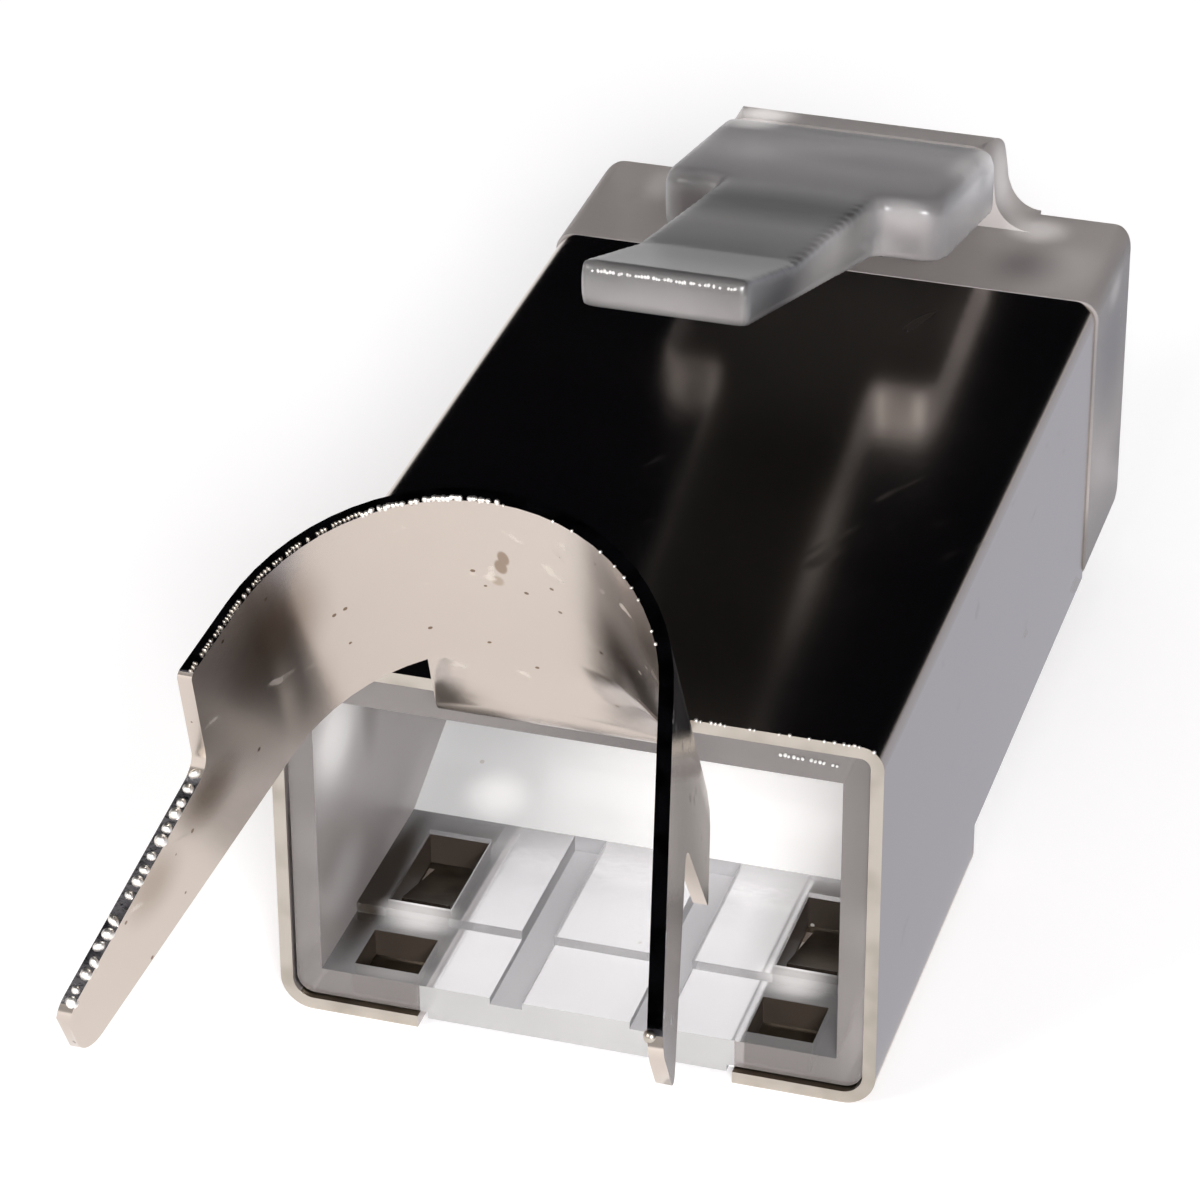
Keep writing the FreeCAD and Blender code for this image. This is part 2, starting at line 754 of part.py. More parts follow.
def check_and_write(bodies):
    doc.recompute()
    for item in doc.Objects:
        if "Invalid" in item.State or "Error" in item.State:
            raise RuntimeError(f"{item.Name} did not build: {item.State}")
    os.makedirs("parts", exist_ok=True)
    for body in bodies:
        shape = body.Shape
        if shape.isNull() or not shape.isValid() or len(shape.Solids) != 1:
            raise RuntimeError(f"{body.Label} is not one valid solid")
        shape.exportStep(f"parts/{body.Label}.step")
        box = shape.BoundBox
        print(f"{body.Label}: {shape.Volume:.2f} cubic mm, x {box.XMin:.2f} {box.XMax:.2f},"
              f" y {box.YMin:.2f} {box.YMax:.2f}, z {box.ZMin:.2f} {box.ZMax:.2f}")


doc = FreeCAD.newDocument("ShieldedPlug")
z = make_sheet(doc)
all_bodies = [make_shield(), make_housing(), make_latch()]
all_bodies += [make_contact(number) for number in range(1, contact_count + 1)]
check_and_write(all_bodies)
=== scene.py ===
# Looks of a shielded modular plug: nickel plated case with an open crimp strap, clear moulding,
# clear latch and gilt contacts.
import math
import bmesh
import bpy
from mathutils import Euler, Matrix, Vector


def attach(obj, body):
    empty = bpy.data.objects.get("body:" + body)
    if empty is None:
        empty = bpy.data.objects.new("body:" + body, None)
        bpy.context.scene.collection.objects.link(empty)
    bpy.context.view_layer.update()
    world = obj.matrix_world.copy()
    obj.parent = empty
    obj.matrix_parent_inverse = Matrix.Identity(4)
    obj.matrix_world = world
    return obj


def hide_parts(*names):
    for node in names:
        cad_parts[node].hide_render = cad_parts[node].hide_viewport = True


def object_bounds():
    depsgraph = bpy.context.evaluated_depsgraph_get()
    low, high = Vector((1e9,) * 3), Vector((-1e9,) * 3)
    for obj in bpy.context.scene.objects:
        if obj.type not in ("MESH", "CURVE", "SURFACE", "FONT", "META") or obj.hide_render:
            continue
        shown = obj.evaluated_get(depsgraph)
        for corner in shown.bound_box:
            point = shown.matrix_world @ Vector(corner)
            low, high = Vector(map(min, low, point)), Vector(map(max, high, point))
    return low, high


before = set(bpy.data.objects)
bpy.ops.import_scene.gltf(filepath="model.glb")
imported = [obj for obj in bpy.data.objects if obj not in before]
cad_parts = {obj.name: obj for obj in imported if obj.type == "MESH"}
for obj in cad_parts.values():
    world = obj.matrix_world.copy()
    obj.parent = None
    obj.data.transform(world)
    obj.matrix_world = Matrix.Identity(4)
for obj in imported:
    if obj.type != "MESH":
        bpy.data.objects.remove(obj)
cadLow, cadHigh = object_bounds()
mm = 0.001

meshLook = {
    "merge": 0.0005 * mm,       # points nearer than this become one
    "lineMerge": 0.001 * mm,    # the same for the lines that beads follow
    "flat": 0.4,                # faces that turn by fewer degrees than this become one
    "crease": 28,               # edges that turn by more degrees than this stay sharp
    "rounded": 40,              # edges that turn by more degrees than this are bevelled
    "bevelRounds": 2,
}


def link(thing):
    bpy.context.scene.collection.objects.link(thing)
    return thing


# a merged copy of a CAD node, with flat faces joined up and its creases kept sharp
def dressedCopy(node, name):
    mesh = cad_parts[node].data.copy()
    mesh.name = name
    thing = link(bpy.data.objects.new(name, mesh))
    work = bmesh.new()
    work.from_mesh(mesh)
    bmesh.ops.remove_doubles(work, verts=work.verts, dist=meshLook["merge"])
    bmesh.ops.dissolve_limit(work, angle_limit=math.radians(meshLook["flat"]),
                             verts=work.verts, edges=work.edges)
    for edge in work.edges:
        edge.smooth = edge.calc_face_angle(0) < math.radians(meshLook["crease"])
    work.to_mesh(mesh)
    work.free()
    if "custom_normal" in mesh.attributes:
        mesh.attributes.remove(mesh.attributes["custom_normal"])
    mesh.shade_smooth()
    return thing


# cuts a mesh along a plane, so that its two sides can differ in finish
def splitAlong(thing, place, normal):
    work = bmesh.new()
    work.from_mesh(thing.data)
    bmesh.ops.bisect_plane(work, geom=work.verts[:] + work.edges[:] + work.faces[:],
                           plane_co=place, plane_no=normal, dist=meshLook["merge"])
    work.to_mesh(thing.data)
    work.free()


def soften(thing, width):
    bevel = thing.modifiers.new("softEdges", "BEVEL")
    bevel.width = width
    bevel.segments = meshLook["bevelRounds"]
    bevel.limit_method = "ANGLE"
    bevel.angle_limit = math.radians(meshLook["rounded"])
    bevel.use_clamp_overlap = True
    normals = thing.modifiers.new("flatFaces", "WEIGHTED_NORMAL")
    normals.keep_sharp = True


# the modifiers' result becomes the piece's own plain mesh
def settle(thing):
    graph = bpy.context.evaluated_depsgraph_get()
    plain = bpy.data.meshes.new_from_object(thing.evaluated_get(graph))
    thing.modifiers.clear()
    thing.data = plain
    plain.name = thing.name


# gives each face the finish that pick names
def finishFaces(thing, finishes, pick):
    order = list(finishes)
    thing.data.materials.clear()
    for material in finishes.values():
        thing.data.materials.append(material)
    for face in thing.data.polygons:
        face.material_index = order.index(pick(face))


# a node with its settings and its sockets' plain values; _ stands for a space in a socket's name
def addNode(tree, kind, **settings):
    made = tree.nodes.new(kind)
    for key, value in settings.items():
        label = key.replace("_", " ")
        if label in made.inputs:
            made.inputs[label].default_value = value
        else:
            setattr(made, key, value)
    return made


def addMath(tree, operation, first=None, second=None, third=None):
    made = addNode(tree, "ShaderNodeMath", operation=operation)
    for socket, value in zip(made.inputs, (first, second, third)):
        if value is not None:
            socket.default_value = value
    return made


def addMix(tree, first=None, second=None, **settings):
    made = addNode(tree, "ShaderNodeMix", data_type="RGBA", **settings)
    for side, color in (("A", first), ("B", second)):
        if color:
            made.inputs[side].default_value = (*color, 1)
    return made


def wire(tree, source, out, target, into):
    tree.links.new(source.outputs[out], target.inputs[into])


# a shader group whose inputs and outputs are all plain numbers
def newGroup(name, inputs, outputs):
    group = bpy.data.node_groups.new(name, "ShaderNodeTree")
    for label, value in inputs.items():
        socket = group.interface.new_socket(label, in_out="INPUT", socket_type="NodeSocketFloat")
        socket.default_value = value
    for label in outputs:
        group.interface.new_socket(label, in_out="OUTPUT", socket_type="NodeSocketFloat")
    return group, addNode(group, "NodeGroupInput"), addNode(group, "NodeGroupOutput")


def useGroup(tree, group, **values):
    made = addNode(tree, "ShaderNodeGroup", node_tree=group)
    for key, value in values.items():
        made.inputs[key.replace("_", " ")].default_value = value
    return made


def newMaterial(name, **sockets):
    material = bpy.data.materials.new(name)
    material.use_nodes = True
    tree = material.node_tree
    shader = next(item for item in tree.nodes if item.type == "BSDF_PRINCIPLED")
    for key, value in sockets.items():
        shader.inputs[key.replace("_", " ")].default_value = value
    return material, tree, shader


# fine straight scratches: stretched noise cut to thin lines
def makeScratches():
    group, given, result = newGroup(
        "fineScratches", {"Scale": 900.0, "Turn": 0.4, "Short": 0.035, "Amount": 0.5}, ["Mask"])
    place = addNode(group, "ShaderNodeTexCoord")
    turn = addNode(group, "ShaderNodeVectorRotate", rotation_type="EULER_XYZ")
    angles = addNode(group, "ShaderNodeCombineXYZ")
    shape = addNode(group, "ShaderNodeCombineXYZ", X=1.0, Z=1.0)
    stretch = addNode(group, "ShaderNodeVectorMath", operation="MULTIPLY")
    noise = addNode(group, "ShaderNodeTexNoise", Detail=2.0, Roughness=0.5)
    thin = addNode(group, "ShaderNodeMapRange", interpolation_type="SMOOTHSTEP",
                   From_Min=0.66, From_Max=0.74)
    scaled = addMath(group, "MULTIPLY")
    for axis in "XYZ":
        wire(group, given, "Turn", angles, axis)
    wire(group, place, "Object", turn, "Vector")
    wire(group, angles, 0, turn, "Rotation")
    wire(group, given, "Short", shape, "Y")
    wire(group, turn, 0, stretch, 0)
    wire(group, shape, 0, stretch, 1)
    wire(group, stretch, 0, noise, "Vector")
    wire(group, given, "Scale", noise, "Scale")
    wire(group, noise, 0, thin, "Value")
    wire(group, thin, 0, scaled, 0)
    wire(group, given, "Amount", scaled, 1)
    wire(group, scaled, 0, result, "Mask")
    return group


# sparse small spots, such as dust, pits and plating specks
def makeSpecks():
    group, given, result = newGroup("specks", {"Scale": 1400.0, "Size": 0.12, "Sparse": 0.6}, ["Mask"])
    place = addNode(group, "ShaderNodeTexCoord")
    cells = addNode(group, "ShaderNodeTexVoronoi", Randomness=1.0)
    near = addMath(group, "LESS_THAN")
    pick = addNode(group, "ShaderNodeSeparateColor")
    chosen = addMath(group, "GREATER_THAN")
    both = addMath(group, "MULTIPLY")
    wire(group, place, "Object", cells, "Vector")
    wire(group, given, "Scale", cells, "Scale")
    wire(group, cells, "Distance", near, 0)
    wire(group, given, "Size", near, 1)
    wire(group, cells, "Color", pick, 0)
    wire(group, pick, 0, chosen, 0)
    wire(group, given, "Sparse", chosen, 1)
    wire(group, near, 0, both, 0)
    wire(group, chosen, 0, both, 1)
    wire(group, both, 0, result, "Mask")
    return group


# 1 inside a stretched ball about a place on the object, fading to 0 at its rim
def makeSpot():
    group, given, result = newGroup("softSpot", {
        "X": 0.0, "Y": 0.0, "Z": 0.0, "Wide": 1.0, "Deep": 1.0, "High": 1.0, "Fade": 0.3}, ["Mask"])
    place = addNode(group, "ShaderNodeTexCoord")
    centre = addNode(group, "ShaderNodeCombineXYZ")
    reach = addNode(group, "ShaderNodeCombineXYZ")
    offset = addNode(group, "ShaderNodeVectorMath", operation="SUBTRACT")
    share = addNode(group, "ShaderNodeVectorMath", operation="DIVIDE")
    size = addNode(group, "ShaderNodeVectorMath", operation="LENGTH")
    inner = addMath(group, "SUBTRACT", 1.0)
    fade = addNode(group, "ShaderNodeMapRange", interpolation_type="SMOOTHSTEP",
                   From_Max=1.0, To_Min=1.0, To_Max=0.0)
    for axis, extent in (("X", "Wide"), ("Y", "Deep"), ("Z", "High")):
        wire(group, given, axis, centre, axis)
        wire(group, given, extent, reach, axis)
    wire(group, place, "Object", offset, 0)
    wire(group, centre, 0, offset, 1)
    wire(group, offset, 0, share, 0)
    wire(group, reach, 0, share, 1)
    wire(group, share, 0, size, 0)
    wire(group, given, "Fade", inner, 1)
    wire(group, size, "Value", fade, "Value")
    wire(group, inner, 0, fade, "From Min")
    wire(group, fade, 0, result, "Mask")
    return group


# slow and fine unevenness of a surface, as a height and as a tone
def makeUneven():
    group, given, result = newGroup(
        "uneven", {"Slow": 250.0, "Fine": 4000.0, "Fine Share": 0.2}, ["Height", "Tone"])
    place = addNode(group, "ShaderNodeTexCoord")
    slow = addNode(group, "ShaderNodeTexNoise", Detail=2.0)
    fine = addNode(group, "ShaderNodeTexNoise", Detail=3.0)
    share = addMath(group, "MULTIPLY")
    total = addMath(group, "ADD")
    wire(group, place, "Object", slow, "Vector")
    wire(group, place, "Object", fine, "Vector")
    wire(group, given, "Slow", slow, "Scale")
    wire(group, given, "Fine", fine, "Scale")
    wire(group, fine, 0, share, 0)
    wire(group, given, "Fine Share", share, 1)
    wire(group, slow, 0, total, 0)
    wire(group, share, 0, total, 1)
    wire(group, total, 0, result, "Height")
    wire(group, slow, 0, result, "Tone")
    return group


print("shared effects")
scratches = makeScratches()
specks = makeSpecks()
uneven = makeUneven()
spot = makeSpot()


# a soft spot placed and sized in mm
def usePatch(tree, where, reach, fade=0.85):
    labels = ("X", "Y", "Z", "Wide", "Deep", "High")
    values = {label: size * mm for label, size in zip(labels, where + reach)}
    return useGroup(tree, spot, Fade=fade, **values)


# soft tints laid one over the other on a colour: a real smudge, and patches of painted light and shade
def addStainsAndPaintedLight(tree, color, stainsAndPaintedLight):
    for where, reach, fade, tint in stainsAndPaintedLight:
        tintPatch = addMix(tree, None, tint)
        wire(tree, color, "Result", tintPatch, "A")
        wire(tree, usePatch(tree, where, reach, fade), "Mask", tintPatch, "Factor")
        color = tintPatch
    return color


# each point's own coordinates, one by one
def splitPlace(tree):
    place = addNode(tree, "ShaderNodeTexCoord")
    parts = addNode(tree, "ShaderNodeSeparateXYZ")
    wire(tree, place, "Object", parts, 0)
    return parts


# the unevenness as bumps on a finish
def addBumps(tree, wave, shader, strength, height):
    bump = addNode(tree, "ShaderNodeBump", Strength=strength, Distance=height)
    wire(tree, wave, "Height", bump, "Height")
    wire(tree, bump, 0, shader, "Normal")


strapEnd = -1.5 * mm    # the strap lies behind this

nickelLook = {
    "bright": (0.60, 0.53, 0.47),
    "dull": (0.55, 0.48, 0.43),
    "brown": (0.20, 0.135, 0.09),
    "nick": (0.80, 0.73, 0.65),
    "roughLow": 0.14,
    "roughHigh": 0.21,
    "rollingRough": 0.2,     # how much rougher a rolling mark is, and a nick
    "nickRough": 0.3,
    "bumps": 0.2,
    "bumpHeight": 0.02 * mm,
    "waves": {"Slow": 260.0, "Fine": 3000.0},
    "rolling": {"Scale": 1500.0, "Turn": 0.5, "Amount": 0.5},
    "nicks": {"Scale": 1900.0, "Turn": 0.9, "Short": 0.22, "Amount": 0.7},
    "specks": {"Scale": 1900.0, "Size": 0.085, "Sparse": 0.3},
    "stainsAndPaintedLight": (    # place and reach in mm, softness, tint: painted dark reflections and painted shade first, then one smudge in three lobes
        ((-3.5, -5.6, 12.0), (1.1, 1.9, 2.0), 0.9, (0.26, 0.195, 0.145)),
        ((3.0, -4.6, 12.4), (0.7, 1.9, 2.0), 0.9, (0.26, 0.195, 0.145)),
        ((-4.15, -7.05, 9.5), (1.0, 1.2, 0.9), 0.9, (0.22, 0.17, 0.13)),
        ((1.95, -3.0, 10.9), (0.6, 1.8, 2.0), 0.9, (0.20, 0.15, 0.115)),
        ((-4.7, -8.5, 8.5), (0.9, 1.1, 1.0), 0.9, (0.40, 0.33, 0.275)),
        ((4.3, -7.4, 10.2), (0.8, 2.8, 2.6), 0.8, (0.33, 0.275, 0.23)),
        ((-0.07, -3.47, 12.80), (0.12, 0.25, 0.27), 0.35, (0.32, 0.24, 0.18)),
        ((-0.16, -3.34, 12.54), (0.13, 0.25, 0.27), 0.35, (0.32, 0.24, 0.18)),
        ((-0.29, -3.12, 12.12), (0.14, 0.19, 0.20), 0.5, (0.44, 0.36, 0.29)),
    ),
}


# keeps a mask on the strap alone, where handling has marked the plating
def strapOnly(tree, mask):
    onStrap = addMath(tree, "LESS_THAN", None, strapEnd)
    kept = addMath(tree, "MULTIPLY")
    wire(tree, splitPlace(tree), "Y", onStrap, 0)
    wire(tree, onStrap, 0, kept, 0)
    wire(tree, mask, "Mask", kept, 1)
    return kept


# bright nickel on rolled steel sheet: slow waviness, rolling marks, brown specks, painted dark reflections
# and shade, a smudge and nicks
def makeNickel():
    look = nickelLook
    material, tree, shader = newMaterial("nickelSheet", Metallic=1.0)
    wave = useGroup(tree, uneven, **look["waves"])
    marks = useGroup(tree, scratches, **look["rolling"])
    nicks = strapOnly(tree, useGroup(tree, scratches, **look["nicks"]))
    dots = strapOnly(tree, useGroup(tree, specks, **look["specks"]))
    tone = addMix(tree, look["dull"], look["bright"])
    spotted = addMix(tree, None, look["brown"])
    bitten = addMix(tree, None, look["nick"])
    wire(tree, wave, "Tone", tone, "Factor")
    wire(tree, tone, "Result", spotted, "A")
    wire(tree, dots, 0, spotted, "Factor")
    wire(tree, addStainsAndPaintedLight(tree, spotted, look["stainsAndPaintedLight"]), "Result", bitten, "A")
    wire(tree, nicks, 0, bitten, "Factor")
    wire(tree, bitten, "Result", shader, "Base Color")
    rough = addNode(tree, "ShaderNodeMapRange", To_Min=look["roughLow"], To_Max=look["roughHigh"])
    worn = addMath(tree, "MULTIPLY_ADD", None, look["rollingRough"])
    scored = addMath(tree, "MULTIPLY_ADD", None, look["nickRough"])
    wire(tree, wave, "Tone", rough, "Value")
    wire(tree, marks, "Mask", worn, 0)
    wire(tree, rough, 0, worn, 2)
    wire(tree, nicks, 0, scored, 0)
    wire(tree, worn, 0, scored, 2)
    wire(tree, scored, 0, shader, "Roughness")
    addBumps(tree, wave, shader, look["bumps"], look["bumpHeight"])
    return material


# finishes with a grain of their own: sheared edges, the dull inside of the case, crumbs of plastic
grainLooks = {
    "shearedRim": {"bright": (0.52, 0.475, 0.42), "dark": (0.40, 0.36, 0.31),
                   "metal": 1.0, "rough": 0.3, "grain": 900.0, "bumps": 0.3},
    # the strap's cut edge is near black as painted shade: it stands in for the dark reflection from above
    "shearedStrapPaintedDark": {"bright": (0.22, 0.21, 0.22), "dark": (0.04, 0.038, 0.045),
                     "metal": 1.0, "rough": 0.16, "grain": 2200.0, "bumps": 0.5},
    "innerSheet": {"bright": (0.62, 0.58, 0.57), "dark": (0.46, 0.41, 0.38),
                   "metal": 1.0, "rough": 0.28, "grain": 500.0, "bumps": 0.3},
    # the tongues' near-white, barely metallic tone is painted light: it stands in for the bright look of
    # lit metal
    "tonguePaintedBright": {"bright": (0.98, 0.93, 0.86), "dark": (0.93, 0.88, 0.81),
                    "metal": 0.1, "rough": 0.4, "grain": 900.0, "bumps": 0.2},
    # the flanges' dark brown is painted shade: the metal as it looks in the dark beneath the moulding
    "flangePaintedShade": {"bright": (0.16, 0.13, 0.095), "dark": (0.09, 0.07, 0.05),
                    "metal": 1.0, "rough": 0.35, "grain": 900.0, "bumps": 0.3},
    # the beads are burrs, and their near-white tone, brighter than the nickel, paints the glints that they
    # catch
    "burrMetalPaintedGlint": {"bright": (0.97, 0.94, 0.90), "dark": (0.86, 0.81, 0.75),
                  "metal": 1.0, "rough": 0.42, "grain": 5000.0, "bumps": 0.2},
    # the crumbs are moulding flash, and their pale opaque tone paints the glints along those edges
    "plasticFlashPaintedGlint": {"bright": (0.66, 0.65, 0.64), "dark": (0.54, 0.53, 0.52),
                     "metal": 0.0, "rough": 0.2, "grain": 5000.0, "bumps": 0.2},
}
# how much finer the fine grain is, its share, the tones' range and the bumps' height
grainForm = {"fineness": 6, "fineShare": 0.6, "from": 0.3, "to": 0.6, "bumpHeight": 0.02 * mm}


def makeGrained(name):
    look, form = grainLooks[name], grainForm
    material, tree, shader = newMaterial(name, Metallic=look["metal"], Roughness=look["rough"])
    wave = useGroup(tree, uneven, Slow=look["grain"], Fine=look["grain"] * form["fineness"],
                    Fine_Share=form["fineShare"])
    tone = addMix(tree, look["dark"], look["bright"])
    spread = addNode(tree, "ShaderNodeMapRange", interpolation_type="SMOOTHSTEP",
                     From_Min=form["from"], From_Max=form["to"])
    wire(tree, wave, "Tone", spread, "Value")
    wire(tree, spread, 0, tone, "Factor")
    wire(tree, tone, "Result", shader, "Base Color")
    addBumps(tree, wave, shader, look["bumps"], form["bumpHeight"])
    return material


# what all the moulded plastic shares
plasticLook = {
    "refraction": 1.585,
    "waves": {"Slow": 220.0, "Fine": 2600.0},
    "bumpHeight": 0.05 * mm,
    "cloud": 0.35,
    "specks": {"Scale": 1500.0, "Size": 0.07, "Sparse": 0.85},
    "dust": (0.60, 0.57, 0.54),
    # the glow colour of the painted highlights
    "glow": (1, 0.96, 0.94),
}

# the moulding's own, and below it those of its grooves, windows, rear end, lip, ramp and side walls
bodyLook = {
    "near": (0.94, 0.93, 0.95),    # tone and roughness at the cable's end, and at the nose
    "far": (0.82, 0.76, 0.74),
    "roughNear": 0.2,
    "roughFar": 0.42,
    "from": 9.0 * mm,    # the change from one to the other
    "to": 18.0 * mm,
    "clear": 0.8,
    "bumps": 0.2,
    "stainsAndPaintedLight": (    # place and reach in mm, softness, tint of painted shade
        ((5.9, 19.4, 6.1), (0.9, 3.6, 2.6), 0.9, (0.46, 0.44, 0.46)),
        ((4.1, 19.2, 7.9), (1.2, 1.2, 0.8), 0.95, (0.46, 0.43, 0.43)),
        ((3.05, 3.9, 1.1), (0.9, 2.6, 0.8), 0.85, (0.66, 0.65, 0.65)),
        ((-4.85, 3.0, 1.0), (0.5, 3.3, 0.5), 0.6, (0.09, 0.065, 0.045)),
    ),
    "glints": (    # place and reach in mm, strength of painted highlights
        ((-2.2, 21.2, 9.6), (0.9, 0.9, 0.8), 0.5),
        ((3.1, 21.4, 8.7), (0.9, 0.9, 1.3), 0.2),
        ((5.0, 19.3, 7.9), (1.1, 1.6, 0.8), 0.07),
        ((3.95, 20.9, 7.9), (0.9, 0.8, 0.7), 0.25),
        ((-4.4, 20.8, 7.9), (0.5, 1.3, 0.6), 0.08),
        ((5.8, 19.7, 7.3), (0.5, 0.9, 0.5), 0.12),
        ((-3.8, 2.2, 1.05), (1.0, 0.7, 0.5), 0.5),
        ((3.7, 2.2, 1.05), (0.9, 0.7, 0.5), 0.45),
        ((-3.6, 0.4, 1.0), (1.2, 0.5, 0.5), 0.15),
    ),
}
plainBody = dict(bodyLook, stainsAndPaintedLight=(), glints=())
# the grooves' darker grey is painted shade in them; their roughness is their own
grooveLook = dict(plainBody, near=(0.58, 0.57, 0.59), roughNear=0.45, clear=0.6)
windowLook = dict(plainBody, near=(0.06, 0.045, 0.035), roughNear=0.35, clear=0.1)
endLook = dict(plainBody, near=(0.74, 0.67, 0.65))
lipLook = dict(plainBody, near=(0.88, 0.87, 0.86), roughNear=0.4, clear=0.6)
# the ramp's glints are painted light that makes it bright
rampLook = dict(plainBody, near=(0.98, 0.98, 0.98), roughNear=0.4, clear=0.1, glints=(
    ((1.2, 7.4, 1.8), (6.5, 5.0, 5.0), 0.42),
    ((-3.5, 6.2, 1.3), (0.9, 0.8, 0.8), 0.25),
))
# on the side walls: two patches of painted light, one of painted shade, and a painted highlight
wallLook = dict(plainBody, near=(0.62, 0.57, 0.56), roughNear=0.3, clear=0.4, stainsAndPaintedLight=(
    ((-5.1, 1.5, 5.4), (1.0, 2.2, 1.9), 0.85, (1.0, 0.98, 0.97)),
    ((-5.1, 3.3, 5.0), (1.0, 0.7, 1.6), 0.85, (0.38, 0.34, 0.33)),
    ((-5.1, 1.6, 2.1), (1.0, 1.5, 1.0), 0.85, (0.86, 0.82, 0.81)),
), glints=(((-5.1, 1.4, 5.4), (0.8, 1.5, 1.3), 0.22),))
latchLook = {
    "near": (0.80, 0.78, 0.775),
    "far": (0.88, 0.86, 0.89),
    "roughNear": 0.3,
    "roughFar": 0.34,
    "from": 13.5 * mm,
    "to": 17.0 * mm,
    "clear": 0.9,
    "bumps": 0.3,
    # painted shade over the lever's top, across its root, on the plate's middle and on the left step face
    "stainsAndPaintedLight": (
        ((0.0, 8.8, 12.1), (5.0, 4.2, 3.0), 0.85, (0.13, 0.125, 0.14)),
        ((0.0, 14.3, 11.9), (6.0, 2.3, 2.0), 0.6, (0.003, 0.003, 0.003)),
        ((1.0, 18.4, 10.1), (1.9, 1.3, 0.8), 0.85, (0.64, 0.62, 0.67)),
        ((-2.3, 15.8, 10.0), (1.4, 0.6, 1.6), 0.85, (0.12, 0.11, 0.11)),
    ),
    # painted highlights on the plate, its step faces, the tip and the lever's side
    "glints": (
        ((-2.3, 20.5, 9.8), (0.9, 0.9, 0.6), 0.3),
        ((2.2, 15.8, 10.4), (0.8, 0.4, 0.6), 0.18),
        ((1.7, 15.8, 9.6), (0.6, 0.4, 0.5), 0.09),
        ((2.75, 19.2, 10.0), (0.5, 2.0, 0.7), 0.12),
        ((2.95, 20.4, 9.6), (0.5, 0.9, 0.7), 0.22),
        ((0.0, 5.85, 12.8), (2.8, 0.45, 0.9), 0.14),
        ((1.63, 11.4, 11.2), (0.3, 4.6, 1.7), 0.11),
        ((0.4, 18.3, 10.1), (5.0, 2.9, 1.6), 0.045),
    ),
}
# the latch's underside is near black as painted shade, which darkens its reflection in the case's top
underShadeLook = dict(latchLook, near=(0.06, 0.064, 0.07), far=(0.06, 0.064, 0.07), stainsAndPaintedLight=(), glints=())


# painted highlights: a faint glow emitted from soft spots on the plastic
def addGlints(tree, material, shader, glints):
    lit = None
    for where, reach, strength in glints:
        more = addMath(tree, "MULTIPLY_ADD", None, strength, 0.0)
        wire(tree, usePatch(tree, where, reach), "Mask", more, 0)
        if lit:
            wire(tree, lit, 0, more, 2)
        lit = more
    glow = addMix(tree, (0, 0, 0), plasticLook["glow"])
    wire(tree, lit, 0, glow, "Factor")
    wire(tree, glow, "Result", shader, "Emission Color")
    shader.inputs["Emission Strength"].default_value = 1.0
    material.cycles.emission_sampling = "NONE"


# clear moulded plastic: its polish and tone change from the cable's end towards the nose, and painted
# shade and painted highlights mark what it bends into view
def makeClear(name, look):
    shared = plasticLook
    material, tree, shader = newMaterial(name, Transmission_Weight=look["clear"], IOR=shared["refraction"])
    wave = useGroup(tree, uneven, **shared["waves"])
    dust = useGroup(tree, specks, **shared["specks"])
    mist = addNode(tree, "ShaderNodeMapRange", interpolation_type="SMOOTHSTEP",
                   From_Min=look["from"], From_Max=look["to"])
    tone = addMix(tree, look["near"], look["far"])
    cloudy = addMix(tree, blend_type="MULTIPLY", Factor=shared["cloud"])
    dusty = addMix(tree, None, shared["dust"])
    wire(tree, splitPlace(tree), "Y", mist, "Value")
    wire(tree, mist, 0, tone, "Factor")
    wire(tree, addStainsAndPaintedLight(tree, tone, look["stainsAndPaintedLight"]), "Result", cloudy, "A")
    wire(tree, wave, "Tone", cloudy, "B")
    wire(tree, cloudy, "Result", dusty, "A")
    wire(tree, dust, "Mask", dusty, "Factor")
    wire(tree, dusty, "Result", shader, "Base Color")
    rough = addNode(tree, "ShaderNodeMapRange", To_Min=look["roughNear"], To_Max=look["roughFar"])
    wire(tree, mist, 0, rough, "Value")
    wire(tree, rough, 0, shader, "Roughness")
    if look["glints"]:
        addGlints(tree, material, shader, look["glints"])
    addBumps(tree, wave, shader, look["bumps"], shared["bumpHeight"])
    return material


giltLook = {
    "dark": (0.86, 0.58, 0.20),
    "bright": (0.95, 0.70, 0.32),
    "roughLow": 0.16,
    "roughHigh": 0.4,
    "waves": {"Slow": 600.0, "Fine": 5000.0},
    "rolling": {"Scale": 2500.0, "Turn": 0.1, "Amount": 0.5},
}


# thin gold on the contact blades
def makeGilt():
    look = giltLook
    material, tree, shader = newMaterial("giltBlade", Metallic=1.0)
    wave = useGroup(tree, uneven, **look["waves"])
    marks = useGroup(tree, scratches, **look["rolling"])
    tone = addMix(tree, look["dark"], look["bright"])
    wire(tree, wave, "Tone", tone, "Factor")
    wire(tree, tone, "Result", shader, "Base Color")
    rough = addNode(tree, "ShaderNodeMapRange", To_Min=look["roughLow"], To_Max=look["roughHigh"])
    wire(tree, marks, "Mask", rough, "Value")
    wire(tree, rough, 0, shader, "Roughness")
    return material


